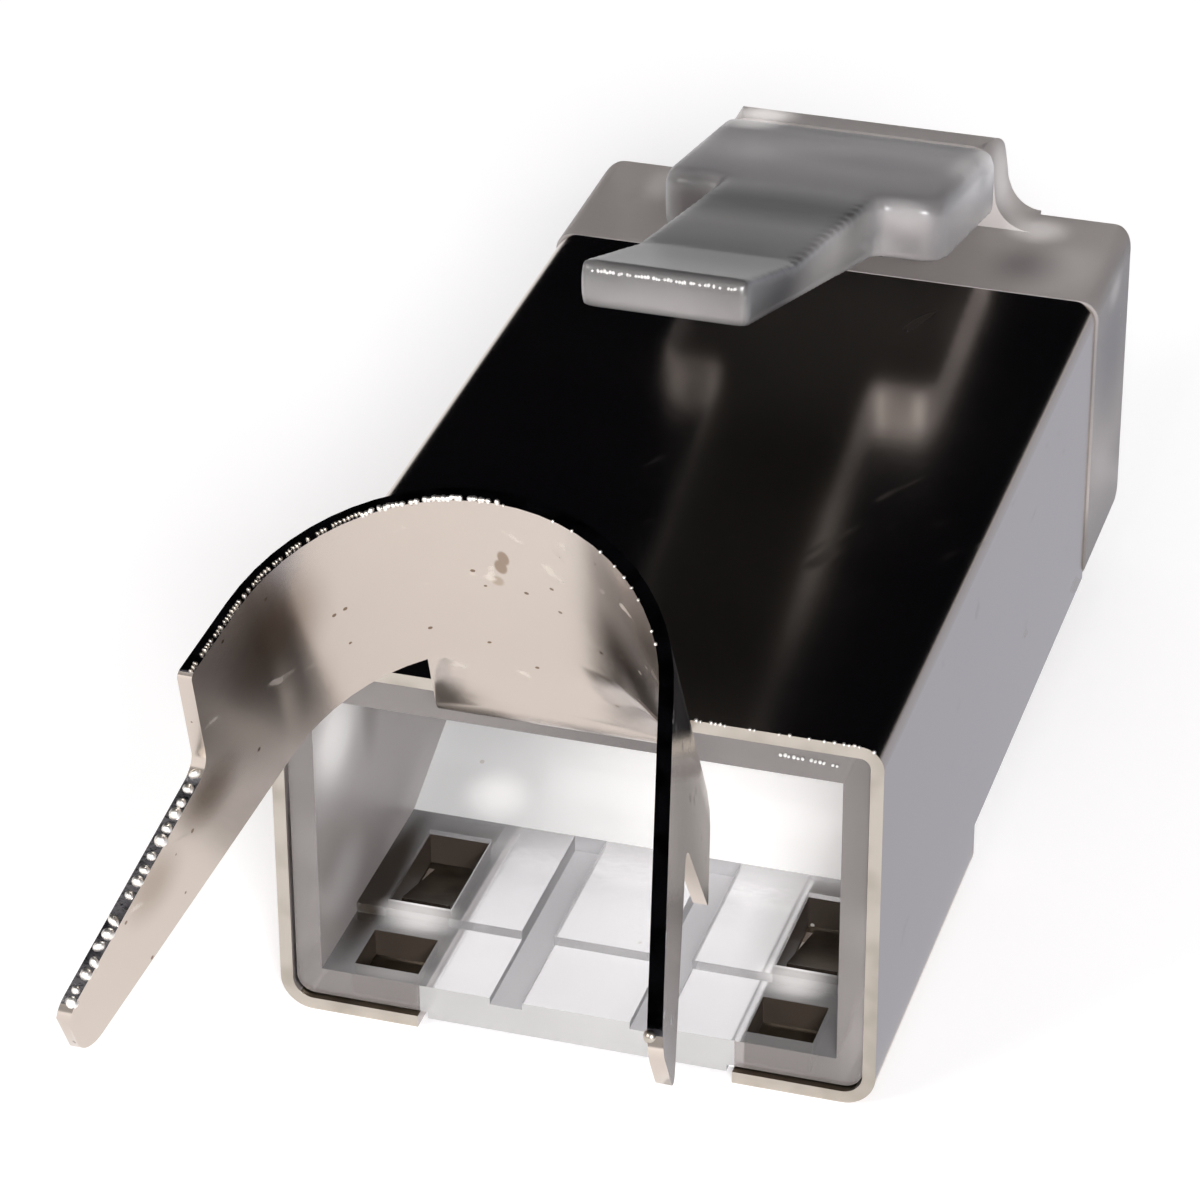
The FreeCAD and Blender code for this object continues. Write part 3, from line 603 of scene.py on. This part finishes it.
print("finishes")
nickel = makeNickel()
rimEdge = makeGrained("shearedRim")
strapEdge = makeGrained("shearedStrapPaintedDark")
innerSheet = makeGrained("innerSheet")
tonguePaintedBright = makeGrained("tonguePaintedBright")
flangePaintedShade = makeGrained("flangePaintedShade")
burrMetalPaintedGlint = makeGrained("burrMetalPaintedGlint")
clearBody = makeClear("clearMoulding", bodyLook)
clearGroove = makeClear("mattGrooveShaded", grooveLook)
windowWall = makeClear("shadedWindow", windowLook)
mattEnd = makeClear("mattEnd", endLook)
paleLip = makeClear("paleLip", lipLook)
paleRamp = makeClear("paleRamp", rampLook)
mistyWall = makeClear("mistyWall", wallLook)
clearLatch = makeClear("clearLatchPlastic", latchLook)
shadedUnderside = makeClear("paintedShadeUnderside", underShadeLook)
flashAndGlint = makeGrained("plasticFlashPaintedGlint")
gilt = makeGilt()


caseLook = {
    "bendAngle": 62.0,          # degrees that the strap stands up from the top plate
    "edgeSoft": 0.03 * mm,
    "rimDepth": 0.1 * mm,       # the rear rim lies within this of the origin
    "sillTop": 1.5 * mm,        # tongues and flanges lie below this
    "tongueHalf": 3.1 * mm,     # the tongues lie within this of the middle
    "sectionMiddle": 4 * mm,    # height that the section is folded round
    "inward": 1 * mm,           # a face looks inward when it turns this much to the middle
    "squareOn": 0.9,            # a face looks along an axis when its normal reaches this
    "edgeOn": 0.2,              # and runs along it when its normal stays within this
    "upward": 0.8,
    "loopMiddle": (0, -6 * mm, 9 * mm),    # inside the strap's loop
    "rimLine": 0.05 * mm,       # as rimDepth, for the beads' line
}
strapLean = math.radians(caseLook["bendAngle"])
strapAlong = Vector((0, -math.cos(strapLean), math.sin(strapLean)))    # across the strip
caseFinishes = {"outside": nickel, "rim": rimEdge, "strapEdge": strapEdge, "inside": innerSheet,
                "tongue": tonguePaintedBright, "flange": flangePaintedShade}


def sheetFinish(face):
    look, middle, normal = caseLook, face.center, face.normal
    if middle.y < strapEnd:
        return "strapEdge" if abs(normal.dot(strapAlong)) > look["squareOn"] else "outside"
    if abs(normal.y) > look["squareOn"] and abs(middle.y) < look["rimDepth"]:
        return "rim"
    if normal.z > look["upward"] and middle.z < look["sillTop"]:
        return "tongue" if abs(middle.x) < look["tongueHalf"] else "flange"
    inward = -normal.x * middle.x - normal.z * (middle.z - look["sectionMiddle"])
    return "inside" if inward > look["inward"] and middle.y > 0 else "outside"


def makeCase():
    thing = dressedCopy("shield", "caseSheet")
    soften(thing, caseLook["edgeSoft"])
    settle(thing)
    finishFaces(thing, caseFinishes, sheetFinish)
    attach(thing, "plug")
    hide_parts("shield")


# the line along which two kinds of face meet, as loose edges moved by a small step in mm
def sharedLine(node, name, firstKind, secondKind, wanted, step=(0, 0, 0)):
    work = bmesh.new()
    work.from_mesh(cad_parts[node].data)
    bmesh.ops.remove_doubles(work, verts=work.verts, dist=meshLook["merge"])
    work.normal_update()
    picked = []
    for edge in work.edges:
        if len(edge.link_faces) != 2 or not wanted((edge.verts[0].co + edge.verts[1].co) / 2):
            continue
        one, two = edge.link_faces
        if (firstKind(one) and secondKind(two)) or (firstKind(two) and secondKind(one)):
            picked.append((edge.verts[0].co.copy(), edge.verts[1].co.copy()))
    work.free()
    mesh = bpy.data.meshes.new(name)
    shift = Vector([part * mm for part in step])
    points = [point + shift for pair in picked for point in pair]
    mesh.from_pydata(points, [(2 * i, 2 * i + 1) for i in range(len(picked))], [])
    line = link(bpy.data.objects.new(name, mesh))
    work = bmesh.new()
    work.from_mesh(mesh)
    bmesh.ops.remove_doubles(work, verts=work.verts, dist=meshLook["lineMerge"])
    work.to_mesh(mesh)
    work.free()
    return line


beadLook = {
    "offLine": 0.25,                      # how far a bead may sit off its line, as a share of its size
    "leastGrowth": (0.7, 0.7, 0.7),
    "mostGrowth": (1.15, 1.15, 1.15),
    "mostTurn": (3.1, 3.1, 3.1),
    "rounds": 2,
}


# torn beads of metal or plastic set along a line, with gaps and sizes by chance
def makeBurrTree():
    look = beadLook
    tree = bpy.data.node_groups.new("tornEdge", "GeometryNodeTree")
    tree.interface.new_socket("Geometry", in_out="INPUT", socket_type="NodeSocketGeometry")
    for label, kind in (("Spacing", "Float"), ("Size", "Float"), ("Kept", "Float"), ("Trim", "Float"),
                        ("Seed", "Int"), ("Material", "Material")):
        tree.interface.new_socket(label, in_out="INPUT", socket_type=f"NodeSocket{kind}")
    tree.interface.new_socket("Geometry", in_out="OUTPUT", socket_type="NodeSocketGeometry")
    given = addNode(tree, "NodeGroupInput")
    result = addNode(tree, "NodeGroupOutput")
    curve = addNode(tree, "GeometryNodeMeshToCurve")
    trim = addNode(tree, "GeometryNodeTrimCurve", mode="FACTOR")
    farEnd = addMath(tree, "SUBTRACT", 1.0)
    points = addNode(tree, "GeometryNodeCurveToPoints", mode="LENGTH")
    chance = addNode(tree, "FunctionNodeRandomValue", data_type="BOOLEAN")
    shift = addNode(tree, "FunctionNodeRandomValue", data_type="FLOAT_VECTOR")
    least = addMath(tree, "MULTIPLY", None, -look["offLine"])
    most = addMath(tree, "MULTIPLY", None, look["offLine"])
    moved = addNode(tree, "GeometryNodeSetPosition")
    bead = addNode(tree, "GeometryNodeMeshIcoSphere", Subdivisions=look["rounds"])
    spread = addNode(tree, "GeometryNodeInstanceOnPoints")
    grow = addNode(tree, "FunctionNodeRandomValue", data_type="FLOAT_VECTOR")
    grow.inputs[0].default_value = look["leastGrowth"]
    grow.inputs[1].default_value = look["mostGrowth"]
    turn = addNode(tree, "FunctionNodeRandomValue", data_type="FLOAT_VECTOR")
    turn.inputs[1].default_value = look["mostTurn"]
    real = addNode(tree, "GeometryNodeRealizeInstances")
    smooth = addNode(tree, "GeometryNodeSetShadeSmooth")
    finish = addNode(tree, "GeometryNodeSetMaterial")
    wire(tree, given, "Geometry", curve, "Mesh")
    wire(tree, curve, 0, trim, "Curve")
    wire(tree, given, "Trim", trim, "Start")
    wire(tree, given, "Trim", farEnd, 1)
    wire(tree, farEnd, 0, trim, "End")
    wire(tree, trim, 0, points, "Curve")
    wire(tree, given, "Spacing", points, "Length")
    wire(tree, given, "Size", least, 0)
    wire(tree, given, "Size", most, 0)
    wire(tree, least, 0, shift, 0)
    wire(tree, most, 0, shift, 1)
    wire(tree, points, 0, moved, "Geometry")
    wire(tree, shift, 0, moved, "Offset")
    wire(tree, given, "Kept", chance, "Probability")
    for drawn in (shift, chance, grow, turn):
        wire(tree, given, "Seed", drawn, "Seed")
    wire(tree, given, "Size", bead, "Radius")
    wire(tree, moved, 0, spread, "Points")
    tree.links.new(next(out for out in chance.outputs if out.type == "BOOLEAN" and out.enabled),
                   spread.inputs["Selection"])
    wire(tree, bead, 0, spread, "Instance")
    wire(tree, turn, 0, spread, "Rotation")
    wire(tree, grow, 0, spread, "Scale")
    wire(tree, spread, 0, real, 0)
    wire(tree, real, 0, smooth, 0)
    wire(tree, smooth, 0, finish, 0)
    wire(tree, given, "Material", finish, "Material")
    wire(tree, finish, 0, result, 0)
    return tree


burrTree = makeBurrTree()


def makeBurrs(line, body, values):
    nodes = line.modifiers.new("tornEdge", "NODES")
    nodes.node_group = burrTree
    for item in burrTree.interface.items_tree:
        if item.item_type == "SOCKET" and item.in_out == "INPUT" and item.name in values:
            nodes[item.identifier] = values[item.name]
    settle(line)
    print(line.name, len(line.data.polygons), "faces")
    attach(line, body)


def onStrapEdge(face):
    return face.normal.dot(strapAlong) > caseLook["squareOn"]


# the strap's faces that look at the middle of its loop
def insideStrap(face):
    toFace = face.calc_center_median() - Vector(caseLook["loopMiddle"])
    return abs(face.normal.dot(strapAlong)) < caseLook["edgeOn"] and face.normal.dot(toFace) < 0


def onRim(face):
    look = caseLook
    return face.normal.y < -look["squareOn"] and abs(face.calc_center_median().y) < look["rimLine"]


def besideRim(face):
    return abs(face.normal.y) < caseLook["edgeOn"]


# torn beads on the sheet: the two kinds of face that they lie between, where, their step off the edge
# in mm, and their build
sheetBurrs = {
    "tailBurrs": (
        onStrapEdge, insideStrap, lambda place: place.z < 10.3 * mm and place.x < -3.5 * mm,
        (-0.09, 0.03, 0.02),
        {"Spacing": 0.25 * mm, "Size": 0.11 * mm, "Kept": 0.95, "Seed": 4, "Material": burrMetalPaintedGlint}),
    "crownBurrs": (
        onStrapEdge, insideStrap, lambda place: place.z > 13.7 * mm and abs(place.x + 1 * mm) < 1.1 * mm,
        (0, 0.02, 0.03),
        {"Spacing": 0.075 * mm, "Size": 0.06 * mm, "Kept": 0.7, "Seed": 9, "Material": burrMetalPaintedGlint}),
    "shoulderBurrs": (
        onStrapEdge, insideStrap, lambda place: place.z > 12.2 * mm and place.x < -2.1 * mm,
        (-0.05, 0.02, 0.04),
        {"Spacing": 0.07 * mm, "Size": 0.045 * mm, "Kept": 0.75, "Seed": 11, "Material": rimEdge}),
    "strapBurrs": (
        onStrapEdge, insideStrap, lambda place: place.z > 12 * mm and place.x > 0.1 * mm,
        (0, 0, 0),
        {"Spacing": 0.13 * mm, "Size": 0.03 * mm, "Kept": 0.22, "Seed": 21, "Material": burrMetalPaintedGlint}),
    "rimBurrs": (
        onRim, besideRim, lambda place: place.z > 7.8 * mm and place.x > 3.6 * mm,
        (0, 0, 0),
        {"Spacing": 0.09 * mm, "Size": 0.0375 * mm, "Kept": 0.4, "Seed": 13, "Material": burrMetalPaintedGlint}),
}
tipBead = {"radius": 0.13 * mm, "place": (5.14, -12.22, 9.98), "rounds": 3}    # place in mm


def makeSheetBurrs():
    for name, (firstKind, secondKind, wanted, step, values) in sheetBurrs.items():
        line = sharedLine("shield", name, firstKind, secondKind, wanted, step)
        makeBurrs(line, "plug", values)


# one bead of metal at the end of the longer tail's sheared edge
def makeTipBead():
    look = tipBead
    mesh = bpy.data.meshes.new("tipBead")
    work = bmesh.new()
    bmesh.ops.create_icosphere(work, subdivisions=look["rounds"], radius=look["radius"])
    work.to_mesh(mesh)
    work.free()
    mesh.shade_smooth()
    mesh.transform(Matrix.Translation(Vector(look["place"]) * mm))
    mesh.materials.append(rimEdge)
    bead = link(bpy.data.objects.new("tipBead", mesh))
    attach(bead, "plug")


print("case")
makeCase()
makeSheetBurrs()
makeTipBead()


mouldLook = {
    "edgeSoft": 0.04 * mm,
    "lipHalf": 3.1 * mm,           # the floor's rear end, between the two flanges
    "lipTop": 0.95 * mm,
    "rearDepth": 1 * mm,           # the rear end's faces lie within this of the origin
    "cavityEnd": 9 * mm,
    "underside": 0.1 * mm,         # faces below this are outside
    "squareOn": 0.9,               # a face looks along an axis when its normal reaches this
    "rampTilt": (0.37, 0.05),      # how far the ramp's normal leans to the rear, give or take
    "wallSide": 4.7 * mm,          # the side walls stand farther out than this
    "groovePlace": 1.38 * mm,      # the two grooves in the floor, to each side of the middle
    "grooveHalf": 0.36 * mm,
    "grooveTop": 2.4 * mm,
    "windowSide": (3.1 * mm, 4.6 * mm),
    "windowDeep": (0.4 * mm, 5.2 * mm),
    "windowTop": 0.8 * mm,
    "windowWall": 0.5,             # a window's walls turn no more than this up or down
}
mouldFinishes = {"plain": clearBody, "groove": clearGroove, "window": windowWall, "lip": paleLip,
                 "ramp": paleRamp, "wall": mistyWall, "end": mattEnd}


def mouldingFinish(face):
    look, middle, normal = mouldLook, face.center, face.normal
    side = abs(middle.x)
    if normal.y < -look["squareOn"] and middle.y < look["rearDepth"]:
        return "lip" if side < look["lipHalf"] and middle.z < look["lipTop"] else "end"
    if not 0 < middle.y < look["cavityEnd"] or middle.z < look["underside"]:
        return "plain"
    tilt, slack = look["rampTilt"]
    if abs(normal.y + tilt) < slack and normal.z > look["squareOn"]:
        return "ramp"
    if side > look["wallSide"] and normal.x * middle.x < -look["squareOn"] * side:
        return "wall"
    inGroove = abs(side - look["groovePlace"]) < look["grooveHalf"] and middle.z < look["grooveTop"]
    if inGroove and normal.y < look["squareOn"]:
        return "groove"
    (inner, outer), (rear, front) = look["windowSide"], look["windowDeep"]
    inWindow = inner < side < outer and rear < middle.y < front and middle.z < look["windowTop"]
    return "window" if inWindow and abs(normal.z) < look["windowWall"] else "plain"


def makeMoulding():
    look = mouldLook
    thing = dressedCopy("housing", "clearBody")
    splitAlong(thing, (0, 0, look["lipTop"]), (0, 0, 1))
    splitAlong(thing, (look["lipHalf"], 0, 0), (1, 0, 0))
    splitAlong(thing, (-look["lipHalf"], 0, 0), (1, 0, 0))
    soften(thing, look["edgeSoft"])
    settle(thing)
    finishFaces(thing, mouldFinishes, mouldingFinish)
    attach(thing, "plug")
    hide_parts("housing")


latchShape = {
    "grid": 0.1 * mm,    # a fine skin, whose relaxing rounds the moulded edges
    "relax": 0.5,
    "rounds": 15,
    "under": -0.8,       # faces whose normal points further down than this get the underside's painted shade
}


def makeLatch():
    look = latchShape
    thing = dressedCopy("latch", "clearLever")
    skin = thing.modifiers.new("fineSkin", "REMESH")
    skin.mode = "VOXEL"
    skin.voxel_size = look["grid"]
    skin.use_smooth_shade = True
    relax = thing.modifiers.new("roundedEdges", "SMOOTH")
    relax.factor = look["relax"]
    relax.iterations = look["rounds"]
    settle(thing)
    print("latch", len(thing.data.polygons), "faces")
    finishFaces(thing, {"clear": clearLatch, "under": shadedUnderside},
                lambda face: "under" if face.normal.z < look["under"] else "clear")
    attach(thing, "latch")
    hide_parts("latch")


contactLook = {"count": 8, "edgeSoft": 0.03 * mm}


def makeContacts():
    for number in range(1, contactLook["count"] + 1):
        node = f"contact_{number}"
        thing = dressedCopy(node, f"blade_{number}")
        soften(thing, contactLook["edgeSoft"])
        settle(thing)
        finishFaces(thing, {"gilt": gilt}, lambda face: "gilt")
        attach(thing, "plug")
        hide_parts(node)


flashLook = {
    "rear": {"Spacing": 0.08 * mm, "Size": 0.036 * mm, "Kept": 0.6, "Seed": 17, "Material": flashAndGlint},
    "rearEnds": ((3.9, 0.13, 7.35), (5.2, 0.13, 7.3)),    # in mm
    "tip": {"Spacing": 0.055 * mm, "Size": 0.04 * mm, "Kept": 0.7, "Trim": 0.08, "Seed": 5,
            "Material": flashAndGlint},
    "tipStep": (0, 0.01, -0.09),    # off the edge, in mm
    "tipDepth": 6.6 * mm,    # the tip's edge lies behind this
    "tipHalf": 1.45 * mm,    # and within this of the middle
    "tipFace": 0.8,          # how squarely the tip's end looks to the rear
    "tipTop": 0.3,           # and how far up the face above it looks, at least
}


# crumbs of flash on the moulding's rear end, just inside the rim's upper right corner, whose pale tone
# paints glints there
def makeRearFlash():
    mesh = bpy.data.meshes.new("rearFlash")
    ends = [[part * mm for part in end] for end in flashLook["rearEnds"]]
    mesh.from_pydata(ends, [(0, 1)], [])
    line = link(bpy.data.objects.new("rearFlash", mesh))
    makeBurrs(line, "plug", flashLook["rear"])


# flash left along the upper edge of the latch's tip, whose pale tone paints the light rim there
def makeTipFlash():
    look = flashLook
    line = sharedLine("latch", "tipFlash", lambda face: face.normal.y < -look["tipFace"],
                      lambda face: face.normal.y > -look["tipFace"] and face.normal.z > look["tipTop"],
                      lambda place: place.y < look["tipDepth"] and abs(place.x) < look["tipHalf"],
                      look["tipStep"])
    makeBurrs(line, "latch", look["tip"])


print("moulding, latch and contacts")
makeMoulding()
makeLatch()
makeRearFlash()
makeTipFlash()
makeContacts()


stageLook = {
    "floorSide": 3.0,
    "floorColor": (0.86, 0.85, 0.86),
    "floorRough": 0.9,
    "floorGlow": 0.25,
    "skyBright": 0.5,
}


def makeFloor():
    look = stageLook
    bpy.ops.mesh.primitive_plane_add(size=look["floorSide"], location=(0, 0, cadLow.z))
    floor = bpy.context.object
    floor.name = "floor"
    material = newMaterial("paleFloor", Roughness=look["floorRough"], Base_Color=(*look["floorColor"], 1),
                           Emission_Color=(1, 1, 1, 1), Emission_Strength=look["floorGlow"])[0]
    material.cycles.emission_sampling = "NONE"
    floor.data.materials.append(material)


# cards that shape the reflections, out of the camera's sight: a black one above and ahead of the plug
# for its top plate, and two glowing ones for its right side
cards = {
    "darkCard": {"place": (-0.01, 0.0084, 0.139), "turn": (-43, 0, 0), "size": (0.34, 0.36),
                 "cloth": "darkCloth", "color": (0.002, 0.002, 0.003)},
    "mauveCard": {"place": (0.106, 0.29, cadLow.z + 0.02 * mm), "turn": (0, 0, 0), "size": (0.2, 0.6),
                  "cloth": "mauveCard", "color": (0, 0, 0), "glow": (0.51, 0.53, 0.60)},
    "duskCard": {"place": (0.206, 0.04, 0.15), "turn": (0, 90, 0), "size": (0.3, 0.5),
                 "cloth": "duskCard", "color": (0, 0, 0), "glow": (0.10, 0.095, 0.11)},
}


def makeCard(name):
    look = cards[name]
    turn = [math.radians(angle) for angle in look["turn"]]
    bpy.ops.mesh.primitive_plane_add(size=1.0, location=look["place"], rotation=turn)
    card = bpy.context.object
    card.name = name
    card.scale = (*look["size"], 1)
    material, _, shader = newMaterial(look["cloth"], Roughness=1.0, Specular_IOR_Level=0.0,
                                      Base_Color=(*look["color"], 1))
    if "glow" in look:
        shader.inputs["Emission Color"].default_value = (*look["glow"], 1)
        shader.inputs["Emission Strength"].default_value = 1.0
        material.cycles.emission_sampling = "NONE"
        card.visible_transmission = False
    card.data.materials.append(material)
    card.visible_camera = False
    card.visible_diffuse = False
    card.visible_shadow = False


# light that comes up through the clear floor between the two flanges
glowLook = {"middle": 8.5 * mm, "size": (6.0 * mm, 16.0 * mm), "lift": 0.01 * mm,
            "color": (1, 0.99, 0.98), "bright": 1.2}


def makeGlow():
    look = glowLook
    bpy.ops.mesh.primitive_plane_add(size=1.0, location=(0, look["middle"], cadLow.z + look["lift"]))
    patch = bpy.context.object
    patch.name = "glowPatch"
    patch.scale = (*look["size"], 1)
    material = newMaterial("glow", Roughness=1.0, Emission_Color=(*look["color"], 1),
                           Emission_Strength=look["bright"])[0]
    patch.data.materials.append(material)


# a weak warm lamp to the left and a stronger white one to the right, both behind the plug
lamps = {
    "keyLight": {"place": (-0.16, -0.16, 0.14), "size": (0.10, 0.10), "power": 0.2,
                 "color": (1.0, 0.97, 0.93)},
    "fillLight": {"place": (0.10, -0.26, 0.15), "size": (0.10, 0.06), "power": 0.95,
                  "color": (1.0, 1.0, 1.0)},
}


def makeLamp(name):
    look = lamps[name]
    data = bpy.data.lights.new(name, "AREA")
    data.shape = "RECTANGLE"
    data.size, data.size_y = look["size"]
    data.energy = look["power"]
    data.color = look["color"]
    lamp = link(bpy.data.objects.new(name, data))
    lamp.location = look["place"]
    aim = (cadLow + cadHigh) / 2 - Vector(look["place"])
    lamp.rotation_euler = aim.to_track_quat("-Z", "Y").to_euler()


def makeSky():
    world = bpy.data.worlds.new("softSky")
    bpy.context.scene.world = world
    world.use_nodes = True
    back = next(item for item in world.node_tree.nodes if item.type == "BACKGROUND")
    back.inputs["Color"].default_value = (1, 1, 1, 1)
    back.inputs["Strength"].default_value = stageLook["skyBright"]


# looks down at the plug from behind and from its right
cameraLook = {
    "place": (22.770 * mm, -71.891 * mm, 55.104 * mm),
    "azimuth": 17.16,    # degrees
    "elevation": 30.89,
    "roll": -0.31,
    "lens": 147.88,
    "sensor": 36.0,
    "near": 0.005,
    "far": 20.0,
}


def makeCamera():
    look = cameraLook
    data = bpy.data.cameras.new("studioCamera")
    data.lens = look["lens"]
    data.sensor_width = look["sensor"]
    data.clip_start = look["near"]
    data.clip_end = look["far"]
    camera = link(bpy.data.objects.new("studioCamera", data))
    camera.location = look["place"]
    turned = Euler((math.radians(90 - look["elevation"]), 0, math.radians(look["azimuth"])), "XYZ")
    rolled = Euler((0, 0, math.radians(look["roll"])), "XYZ")
    camera.rotation_euler = (turned.to_matrix() @ rolled.to_matrix()).to_euler("XYZ")
    bpy.context.scene.camera = camera


print("stage")
makeFloor()
makeCard("darkCard")
makeSky()
makeLamp("keyLight")
makeLamp("fillLight")
makeCard("mauveCard")
makeCard("duskCard")
makeGlow()
makeCamera()
bpy.context.scene.view_settings.view_transform = "Standard"
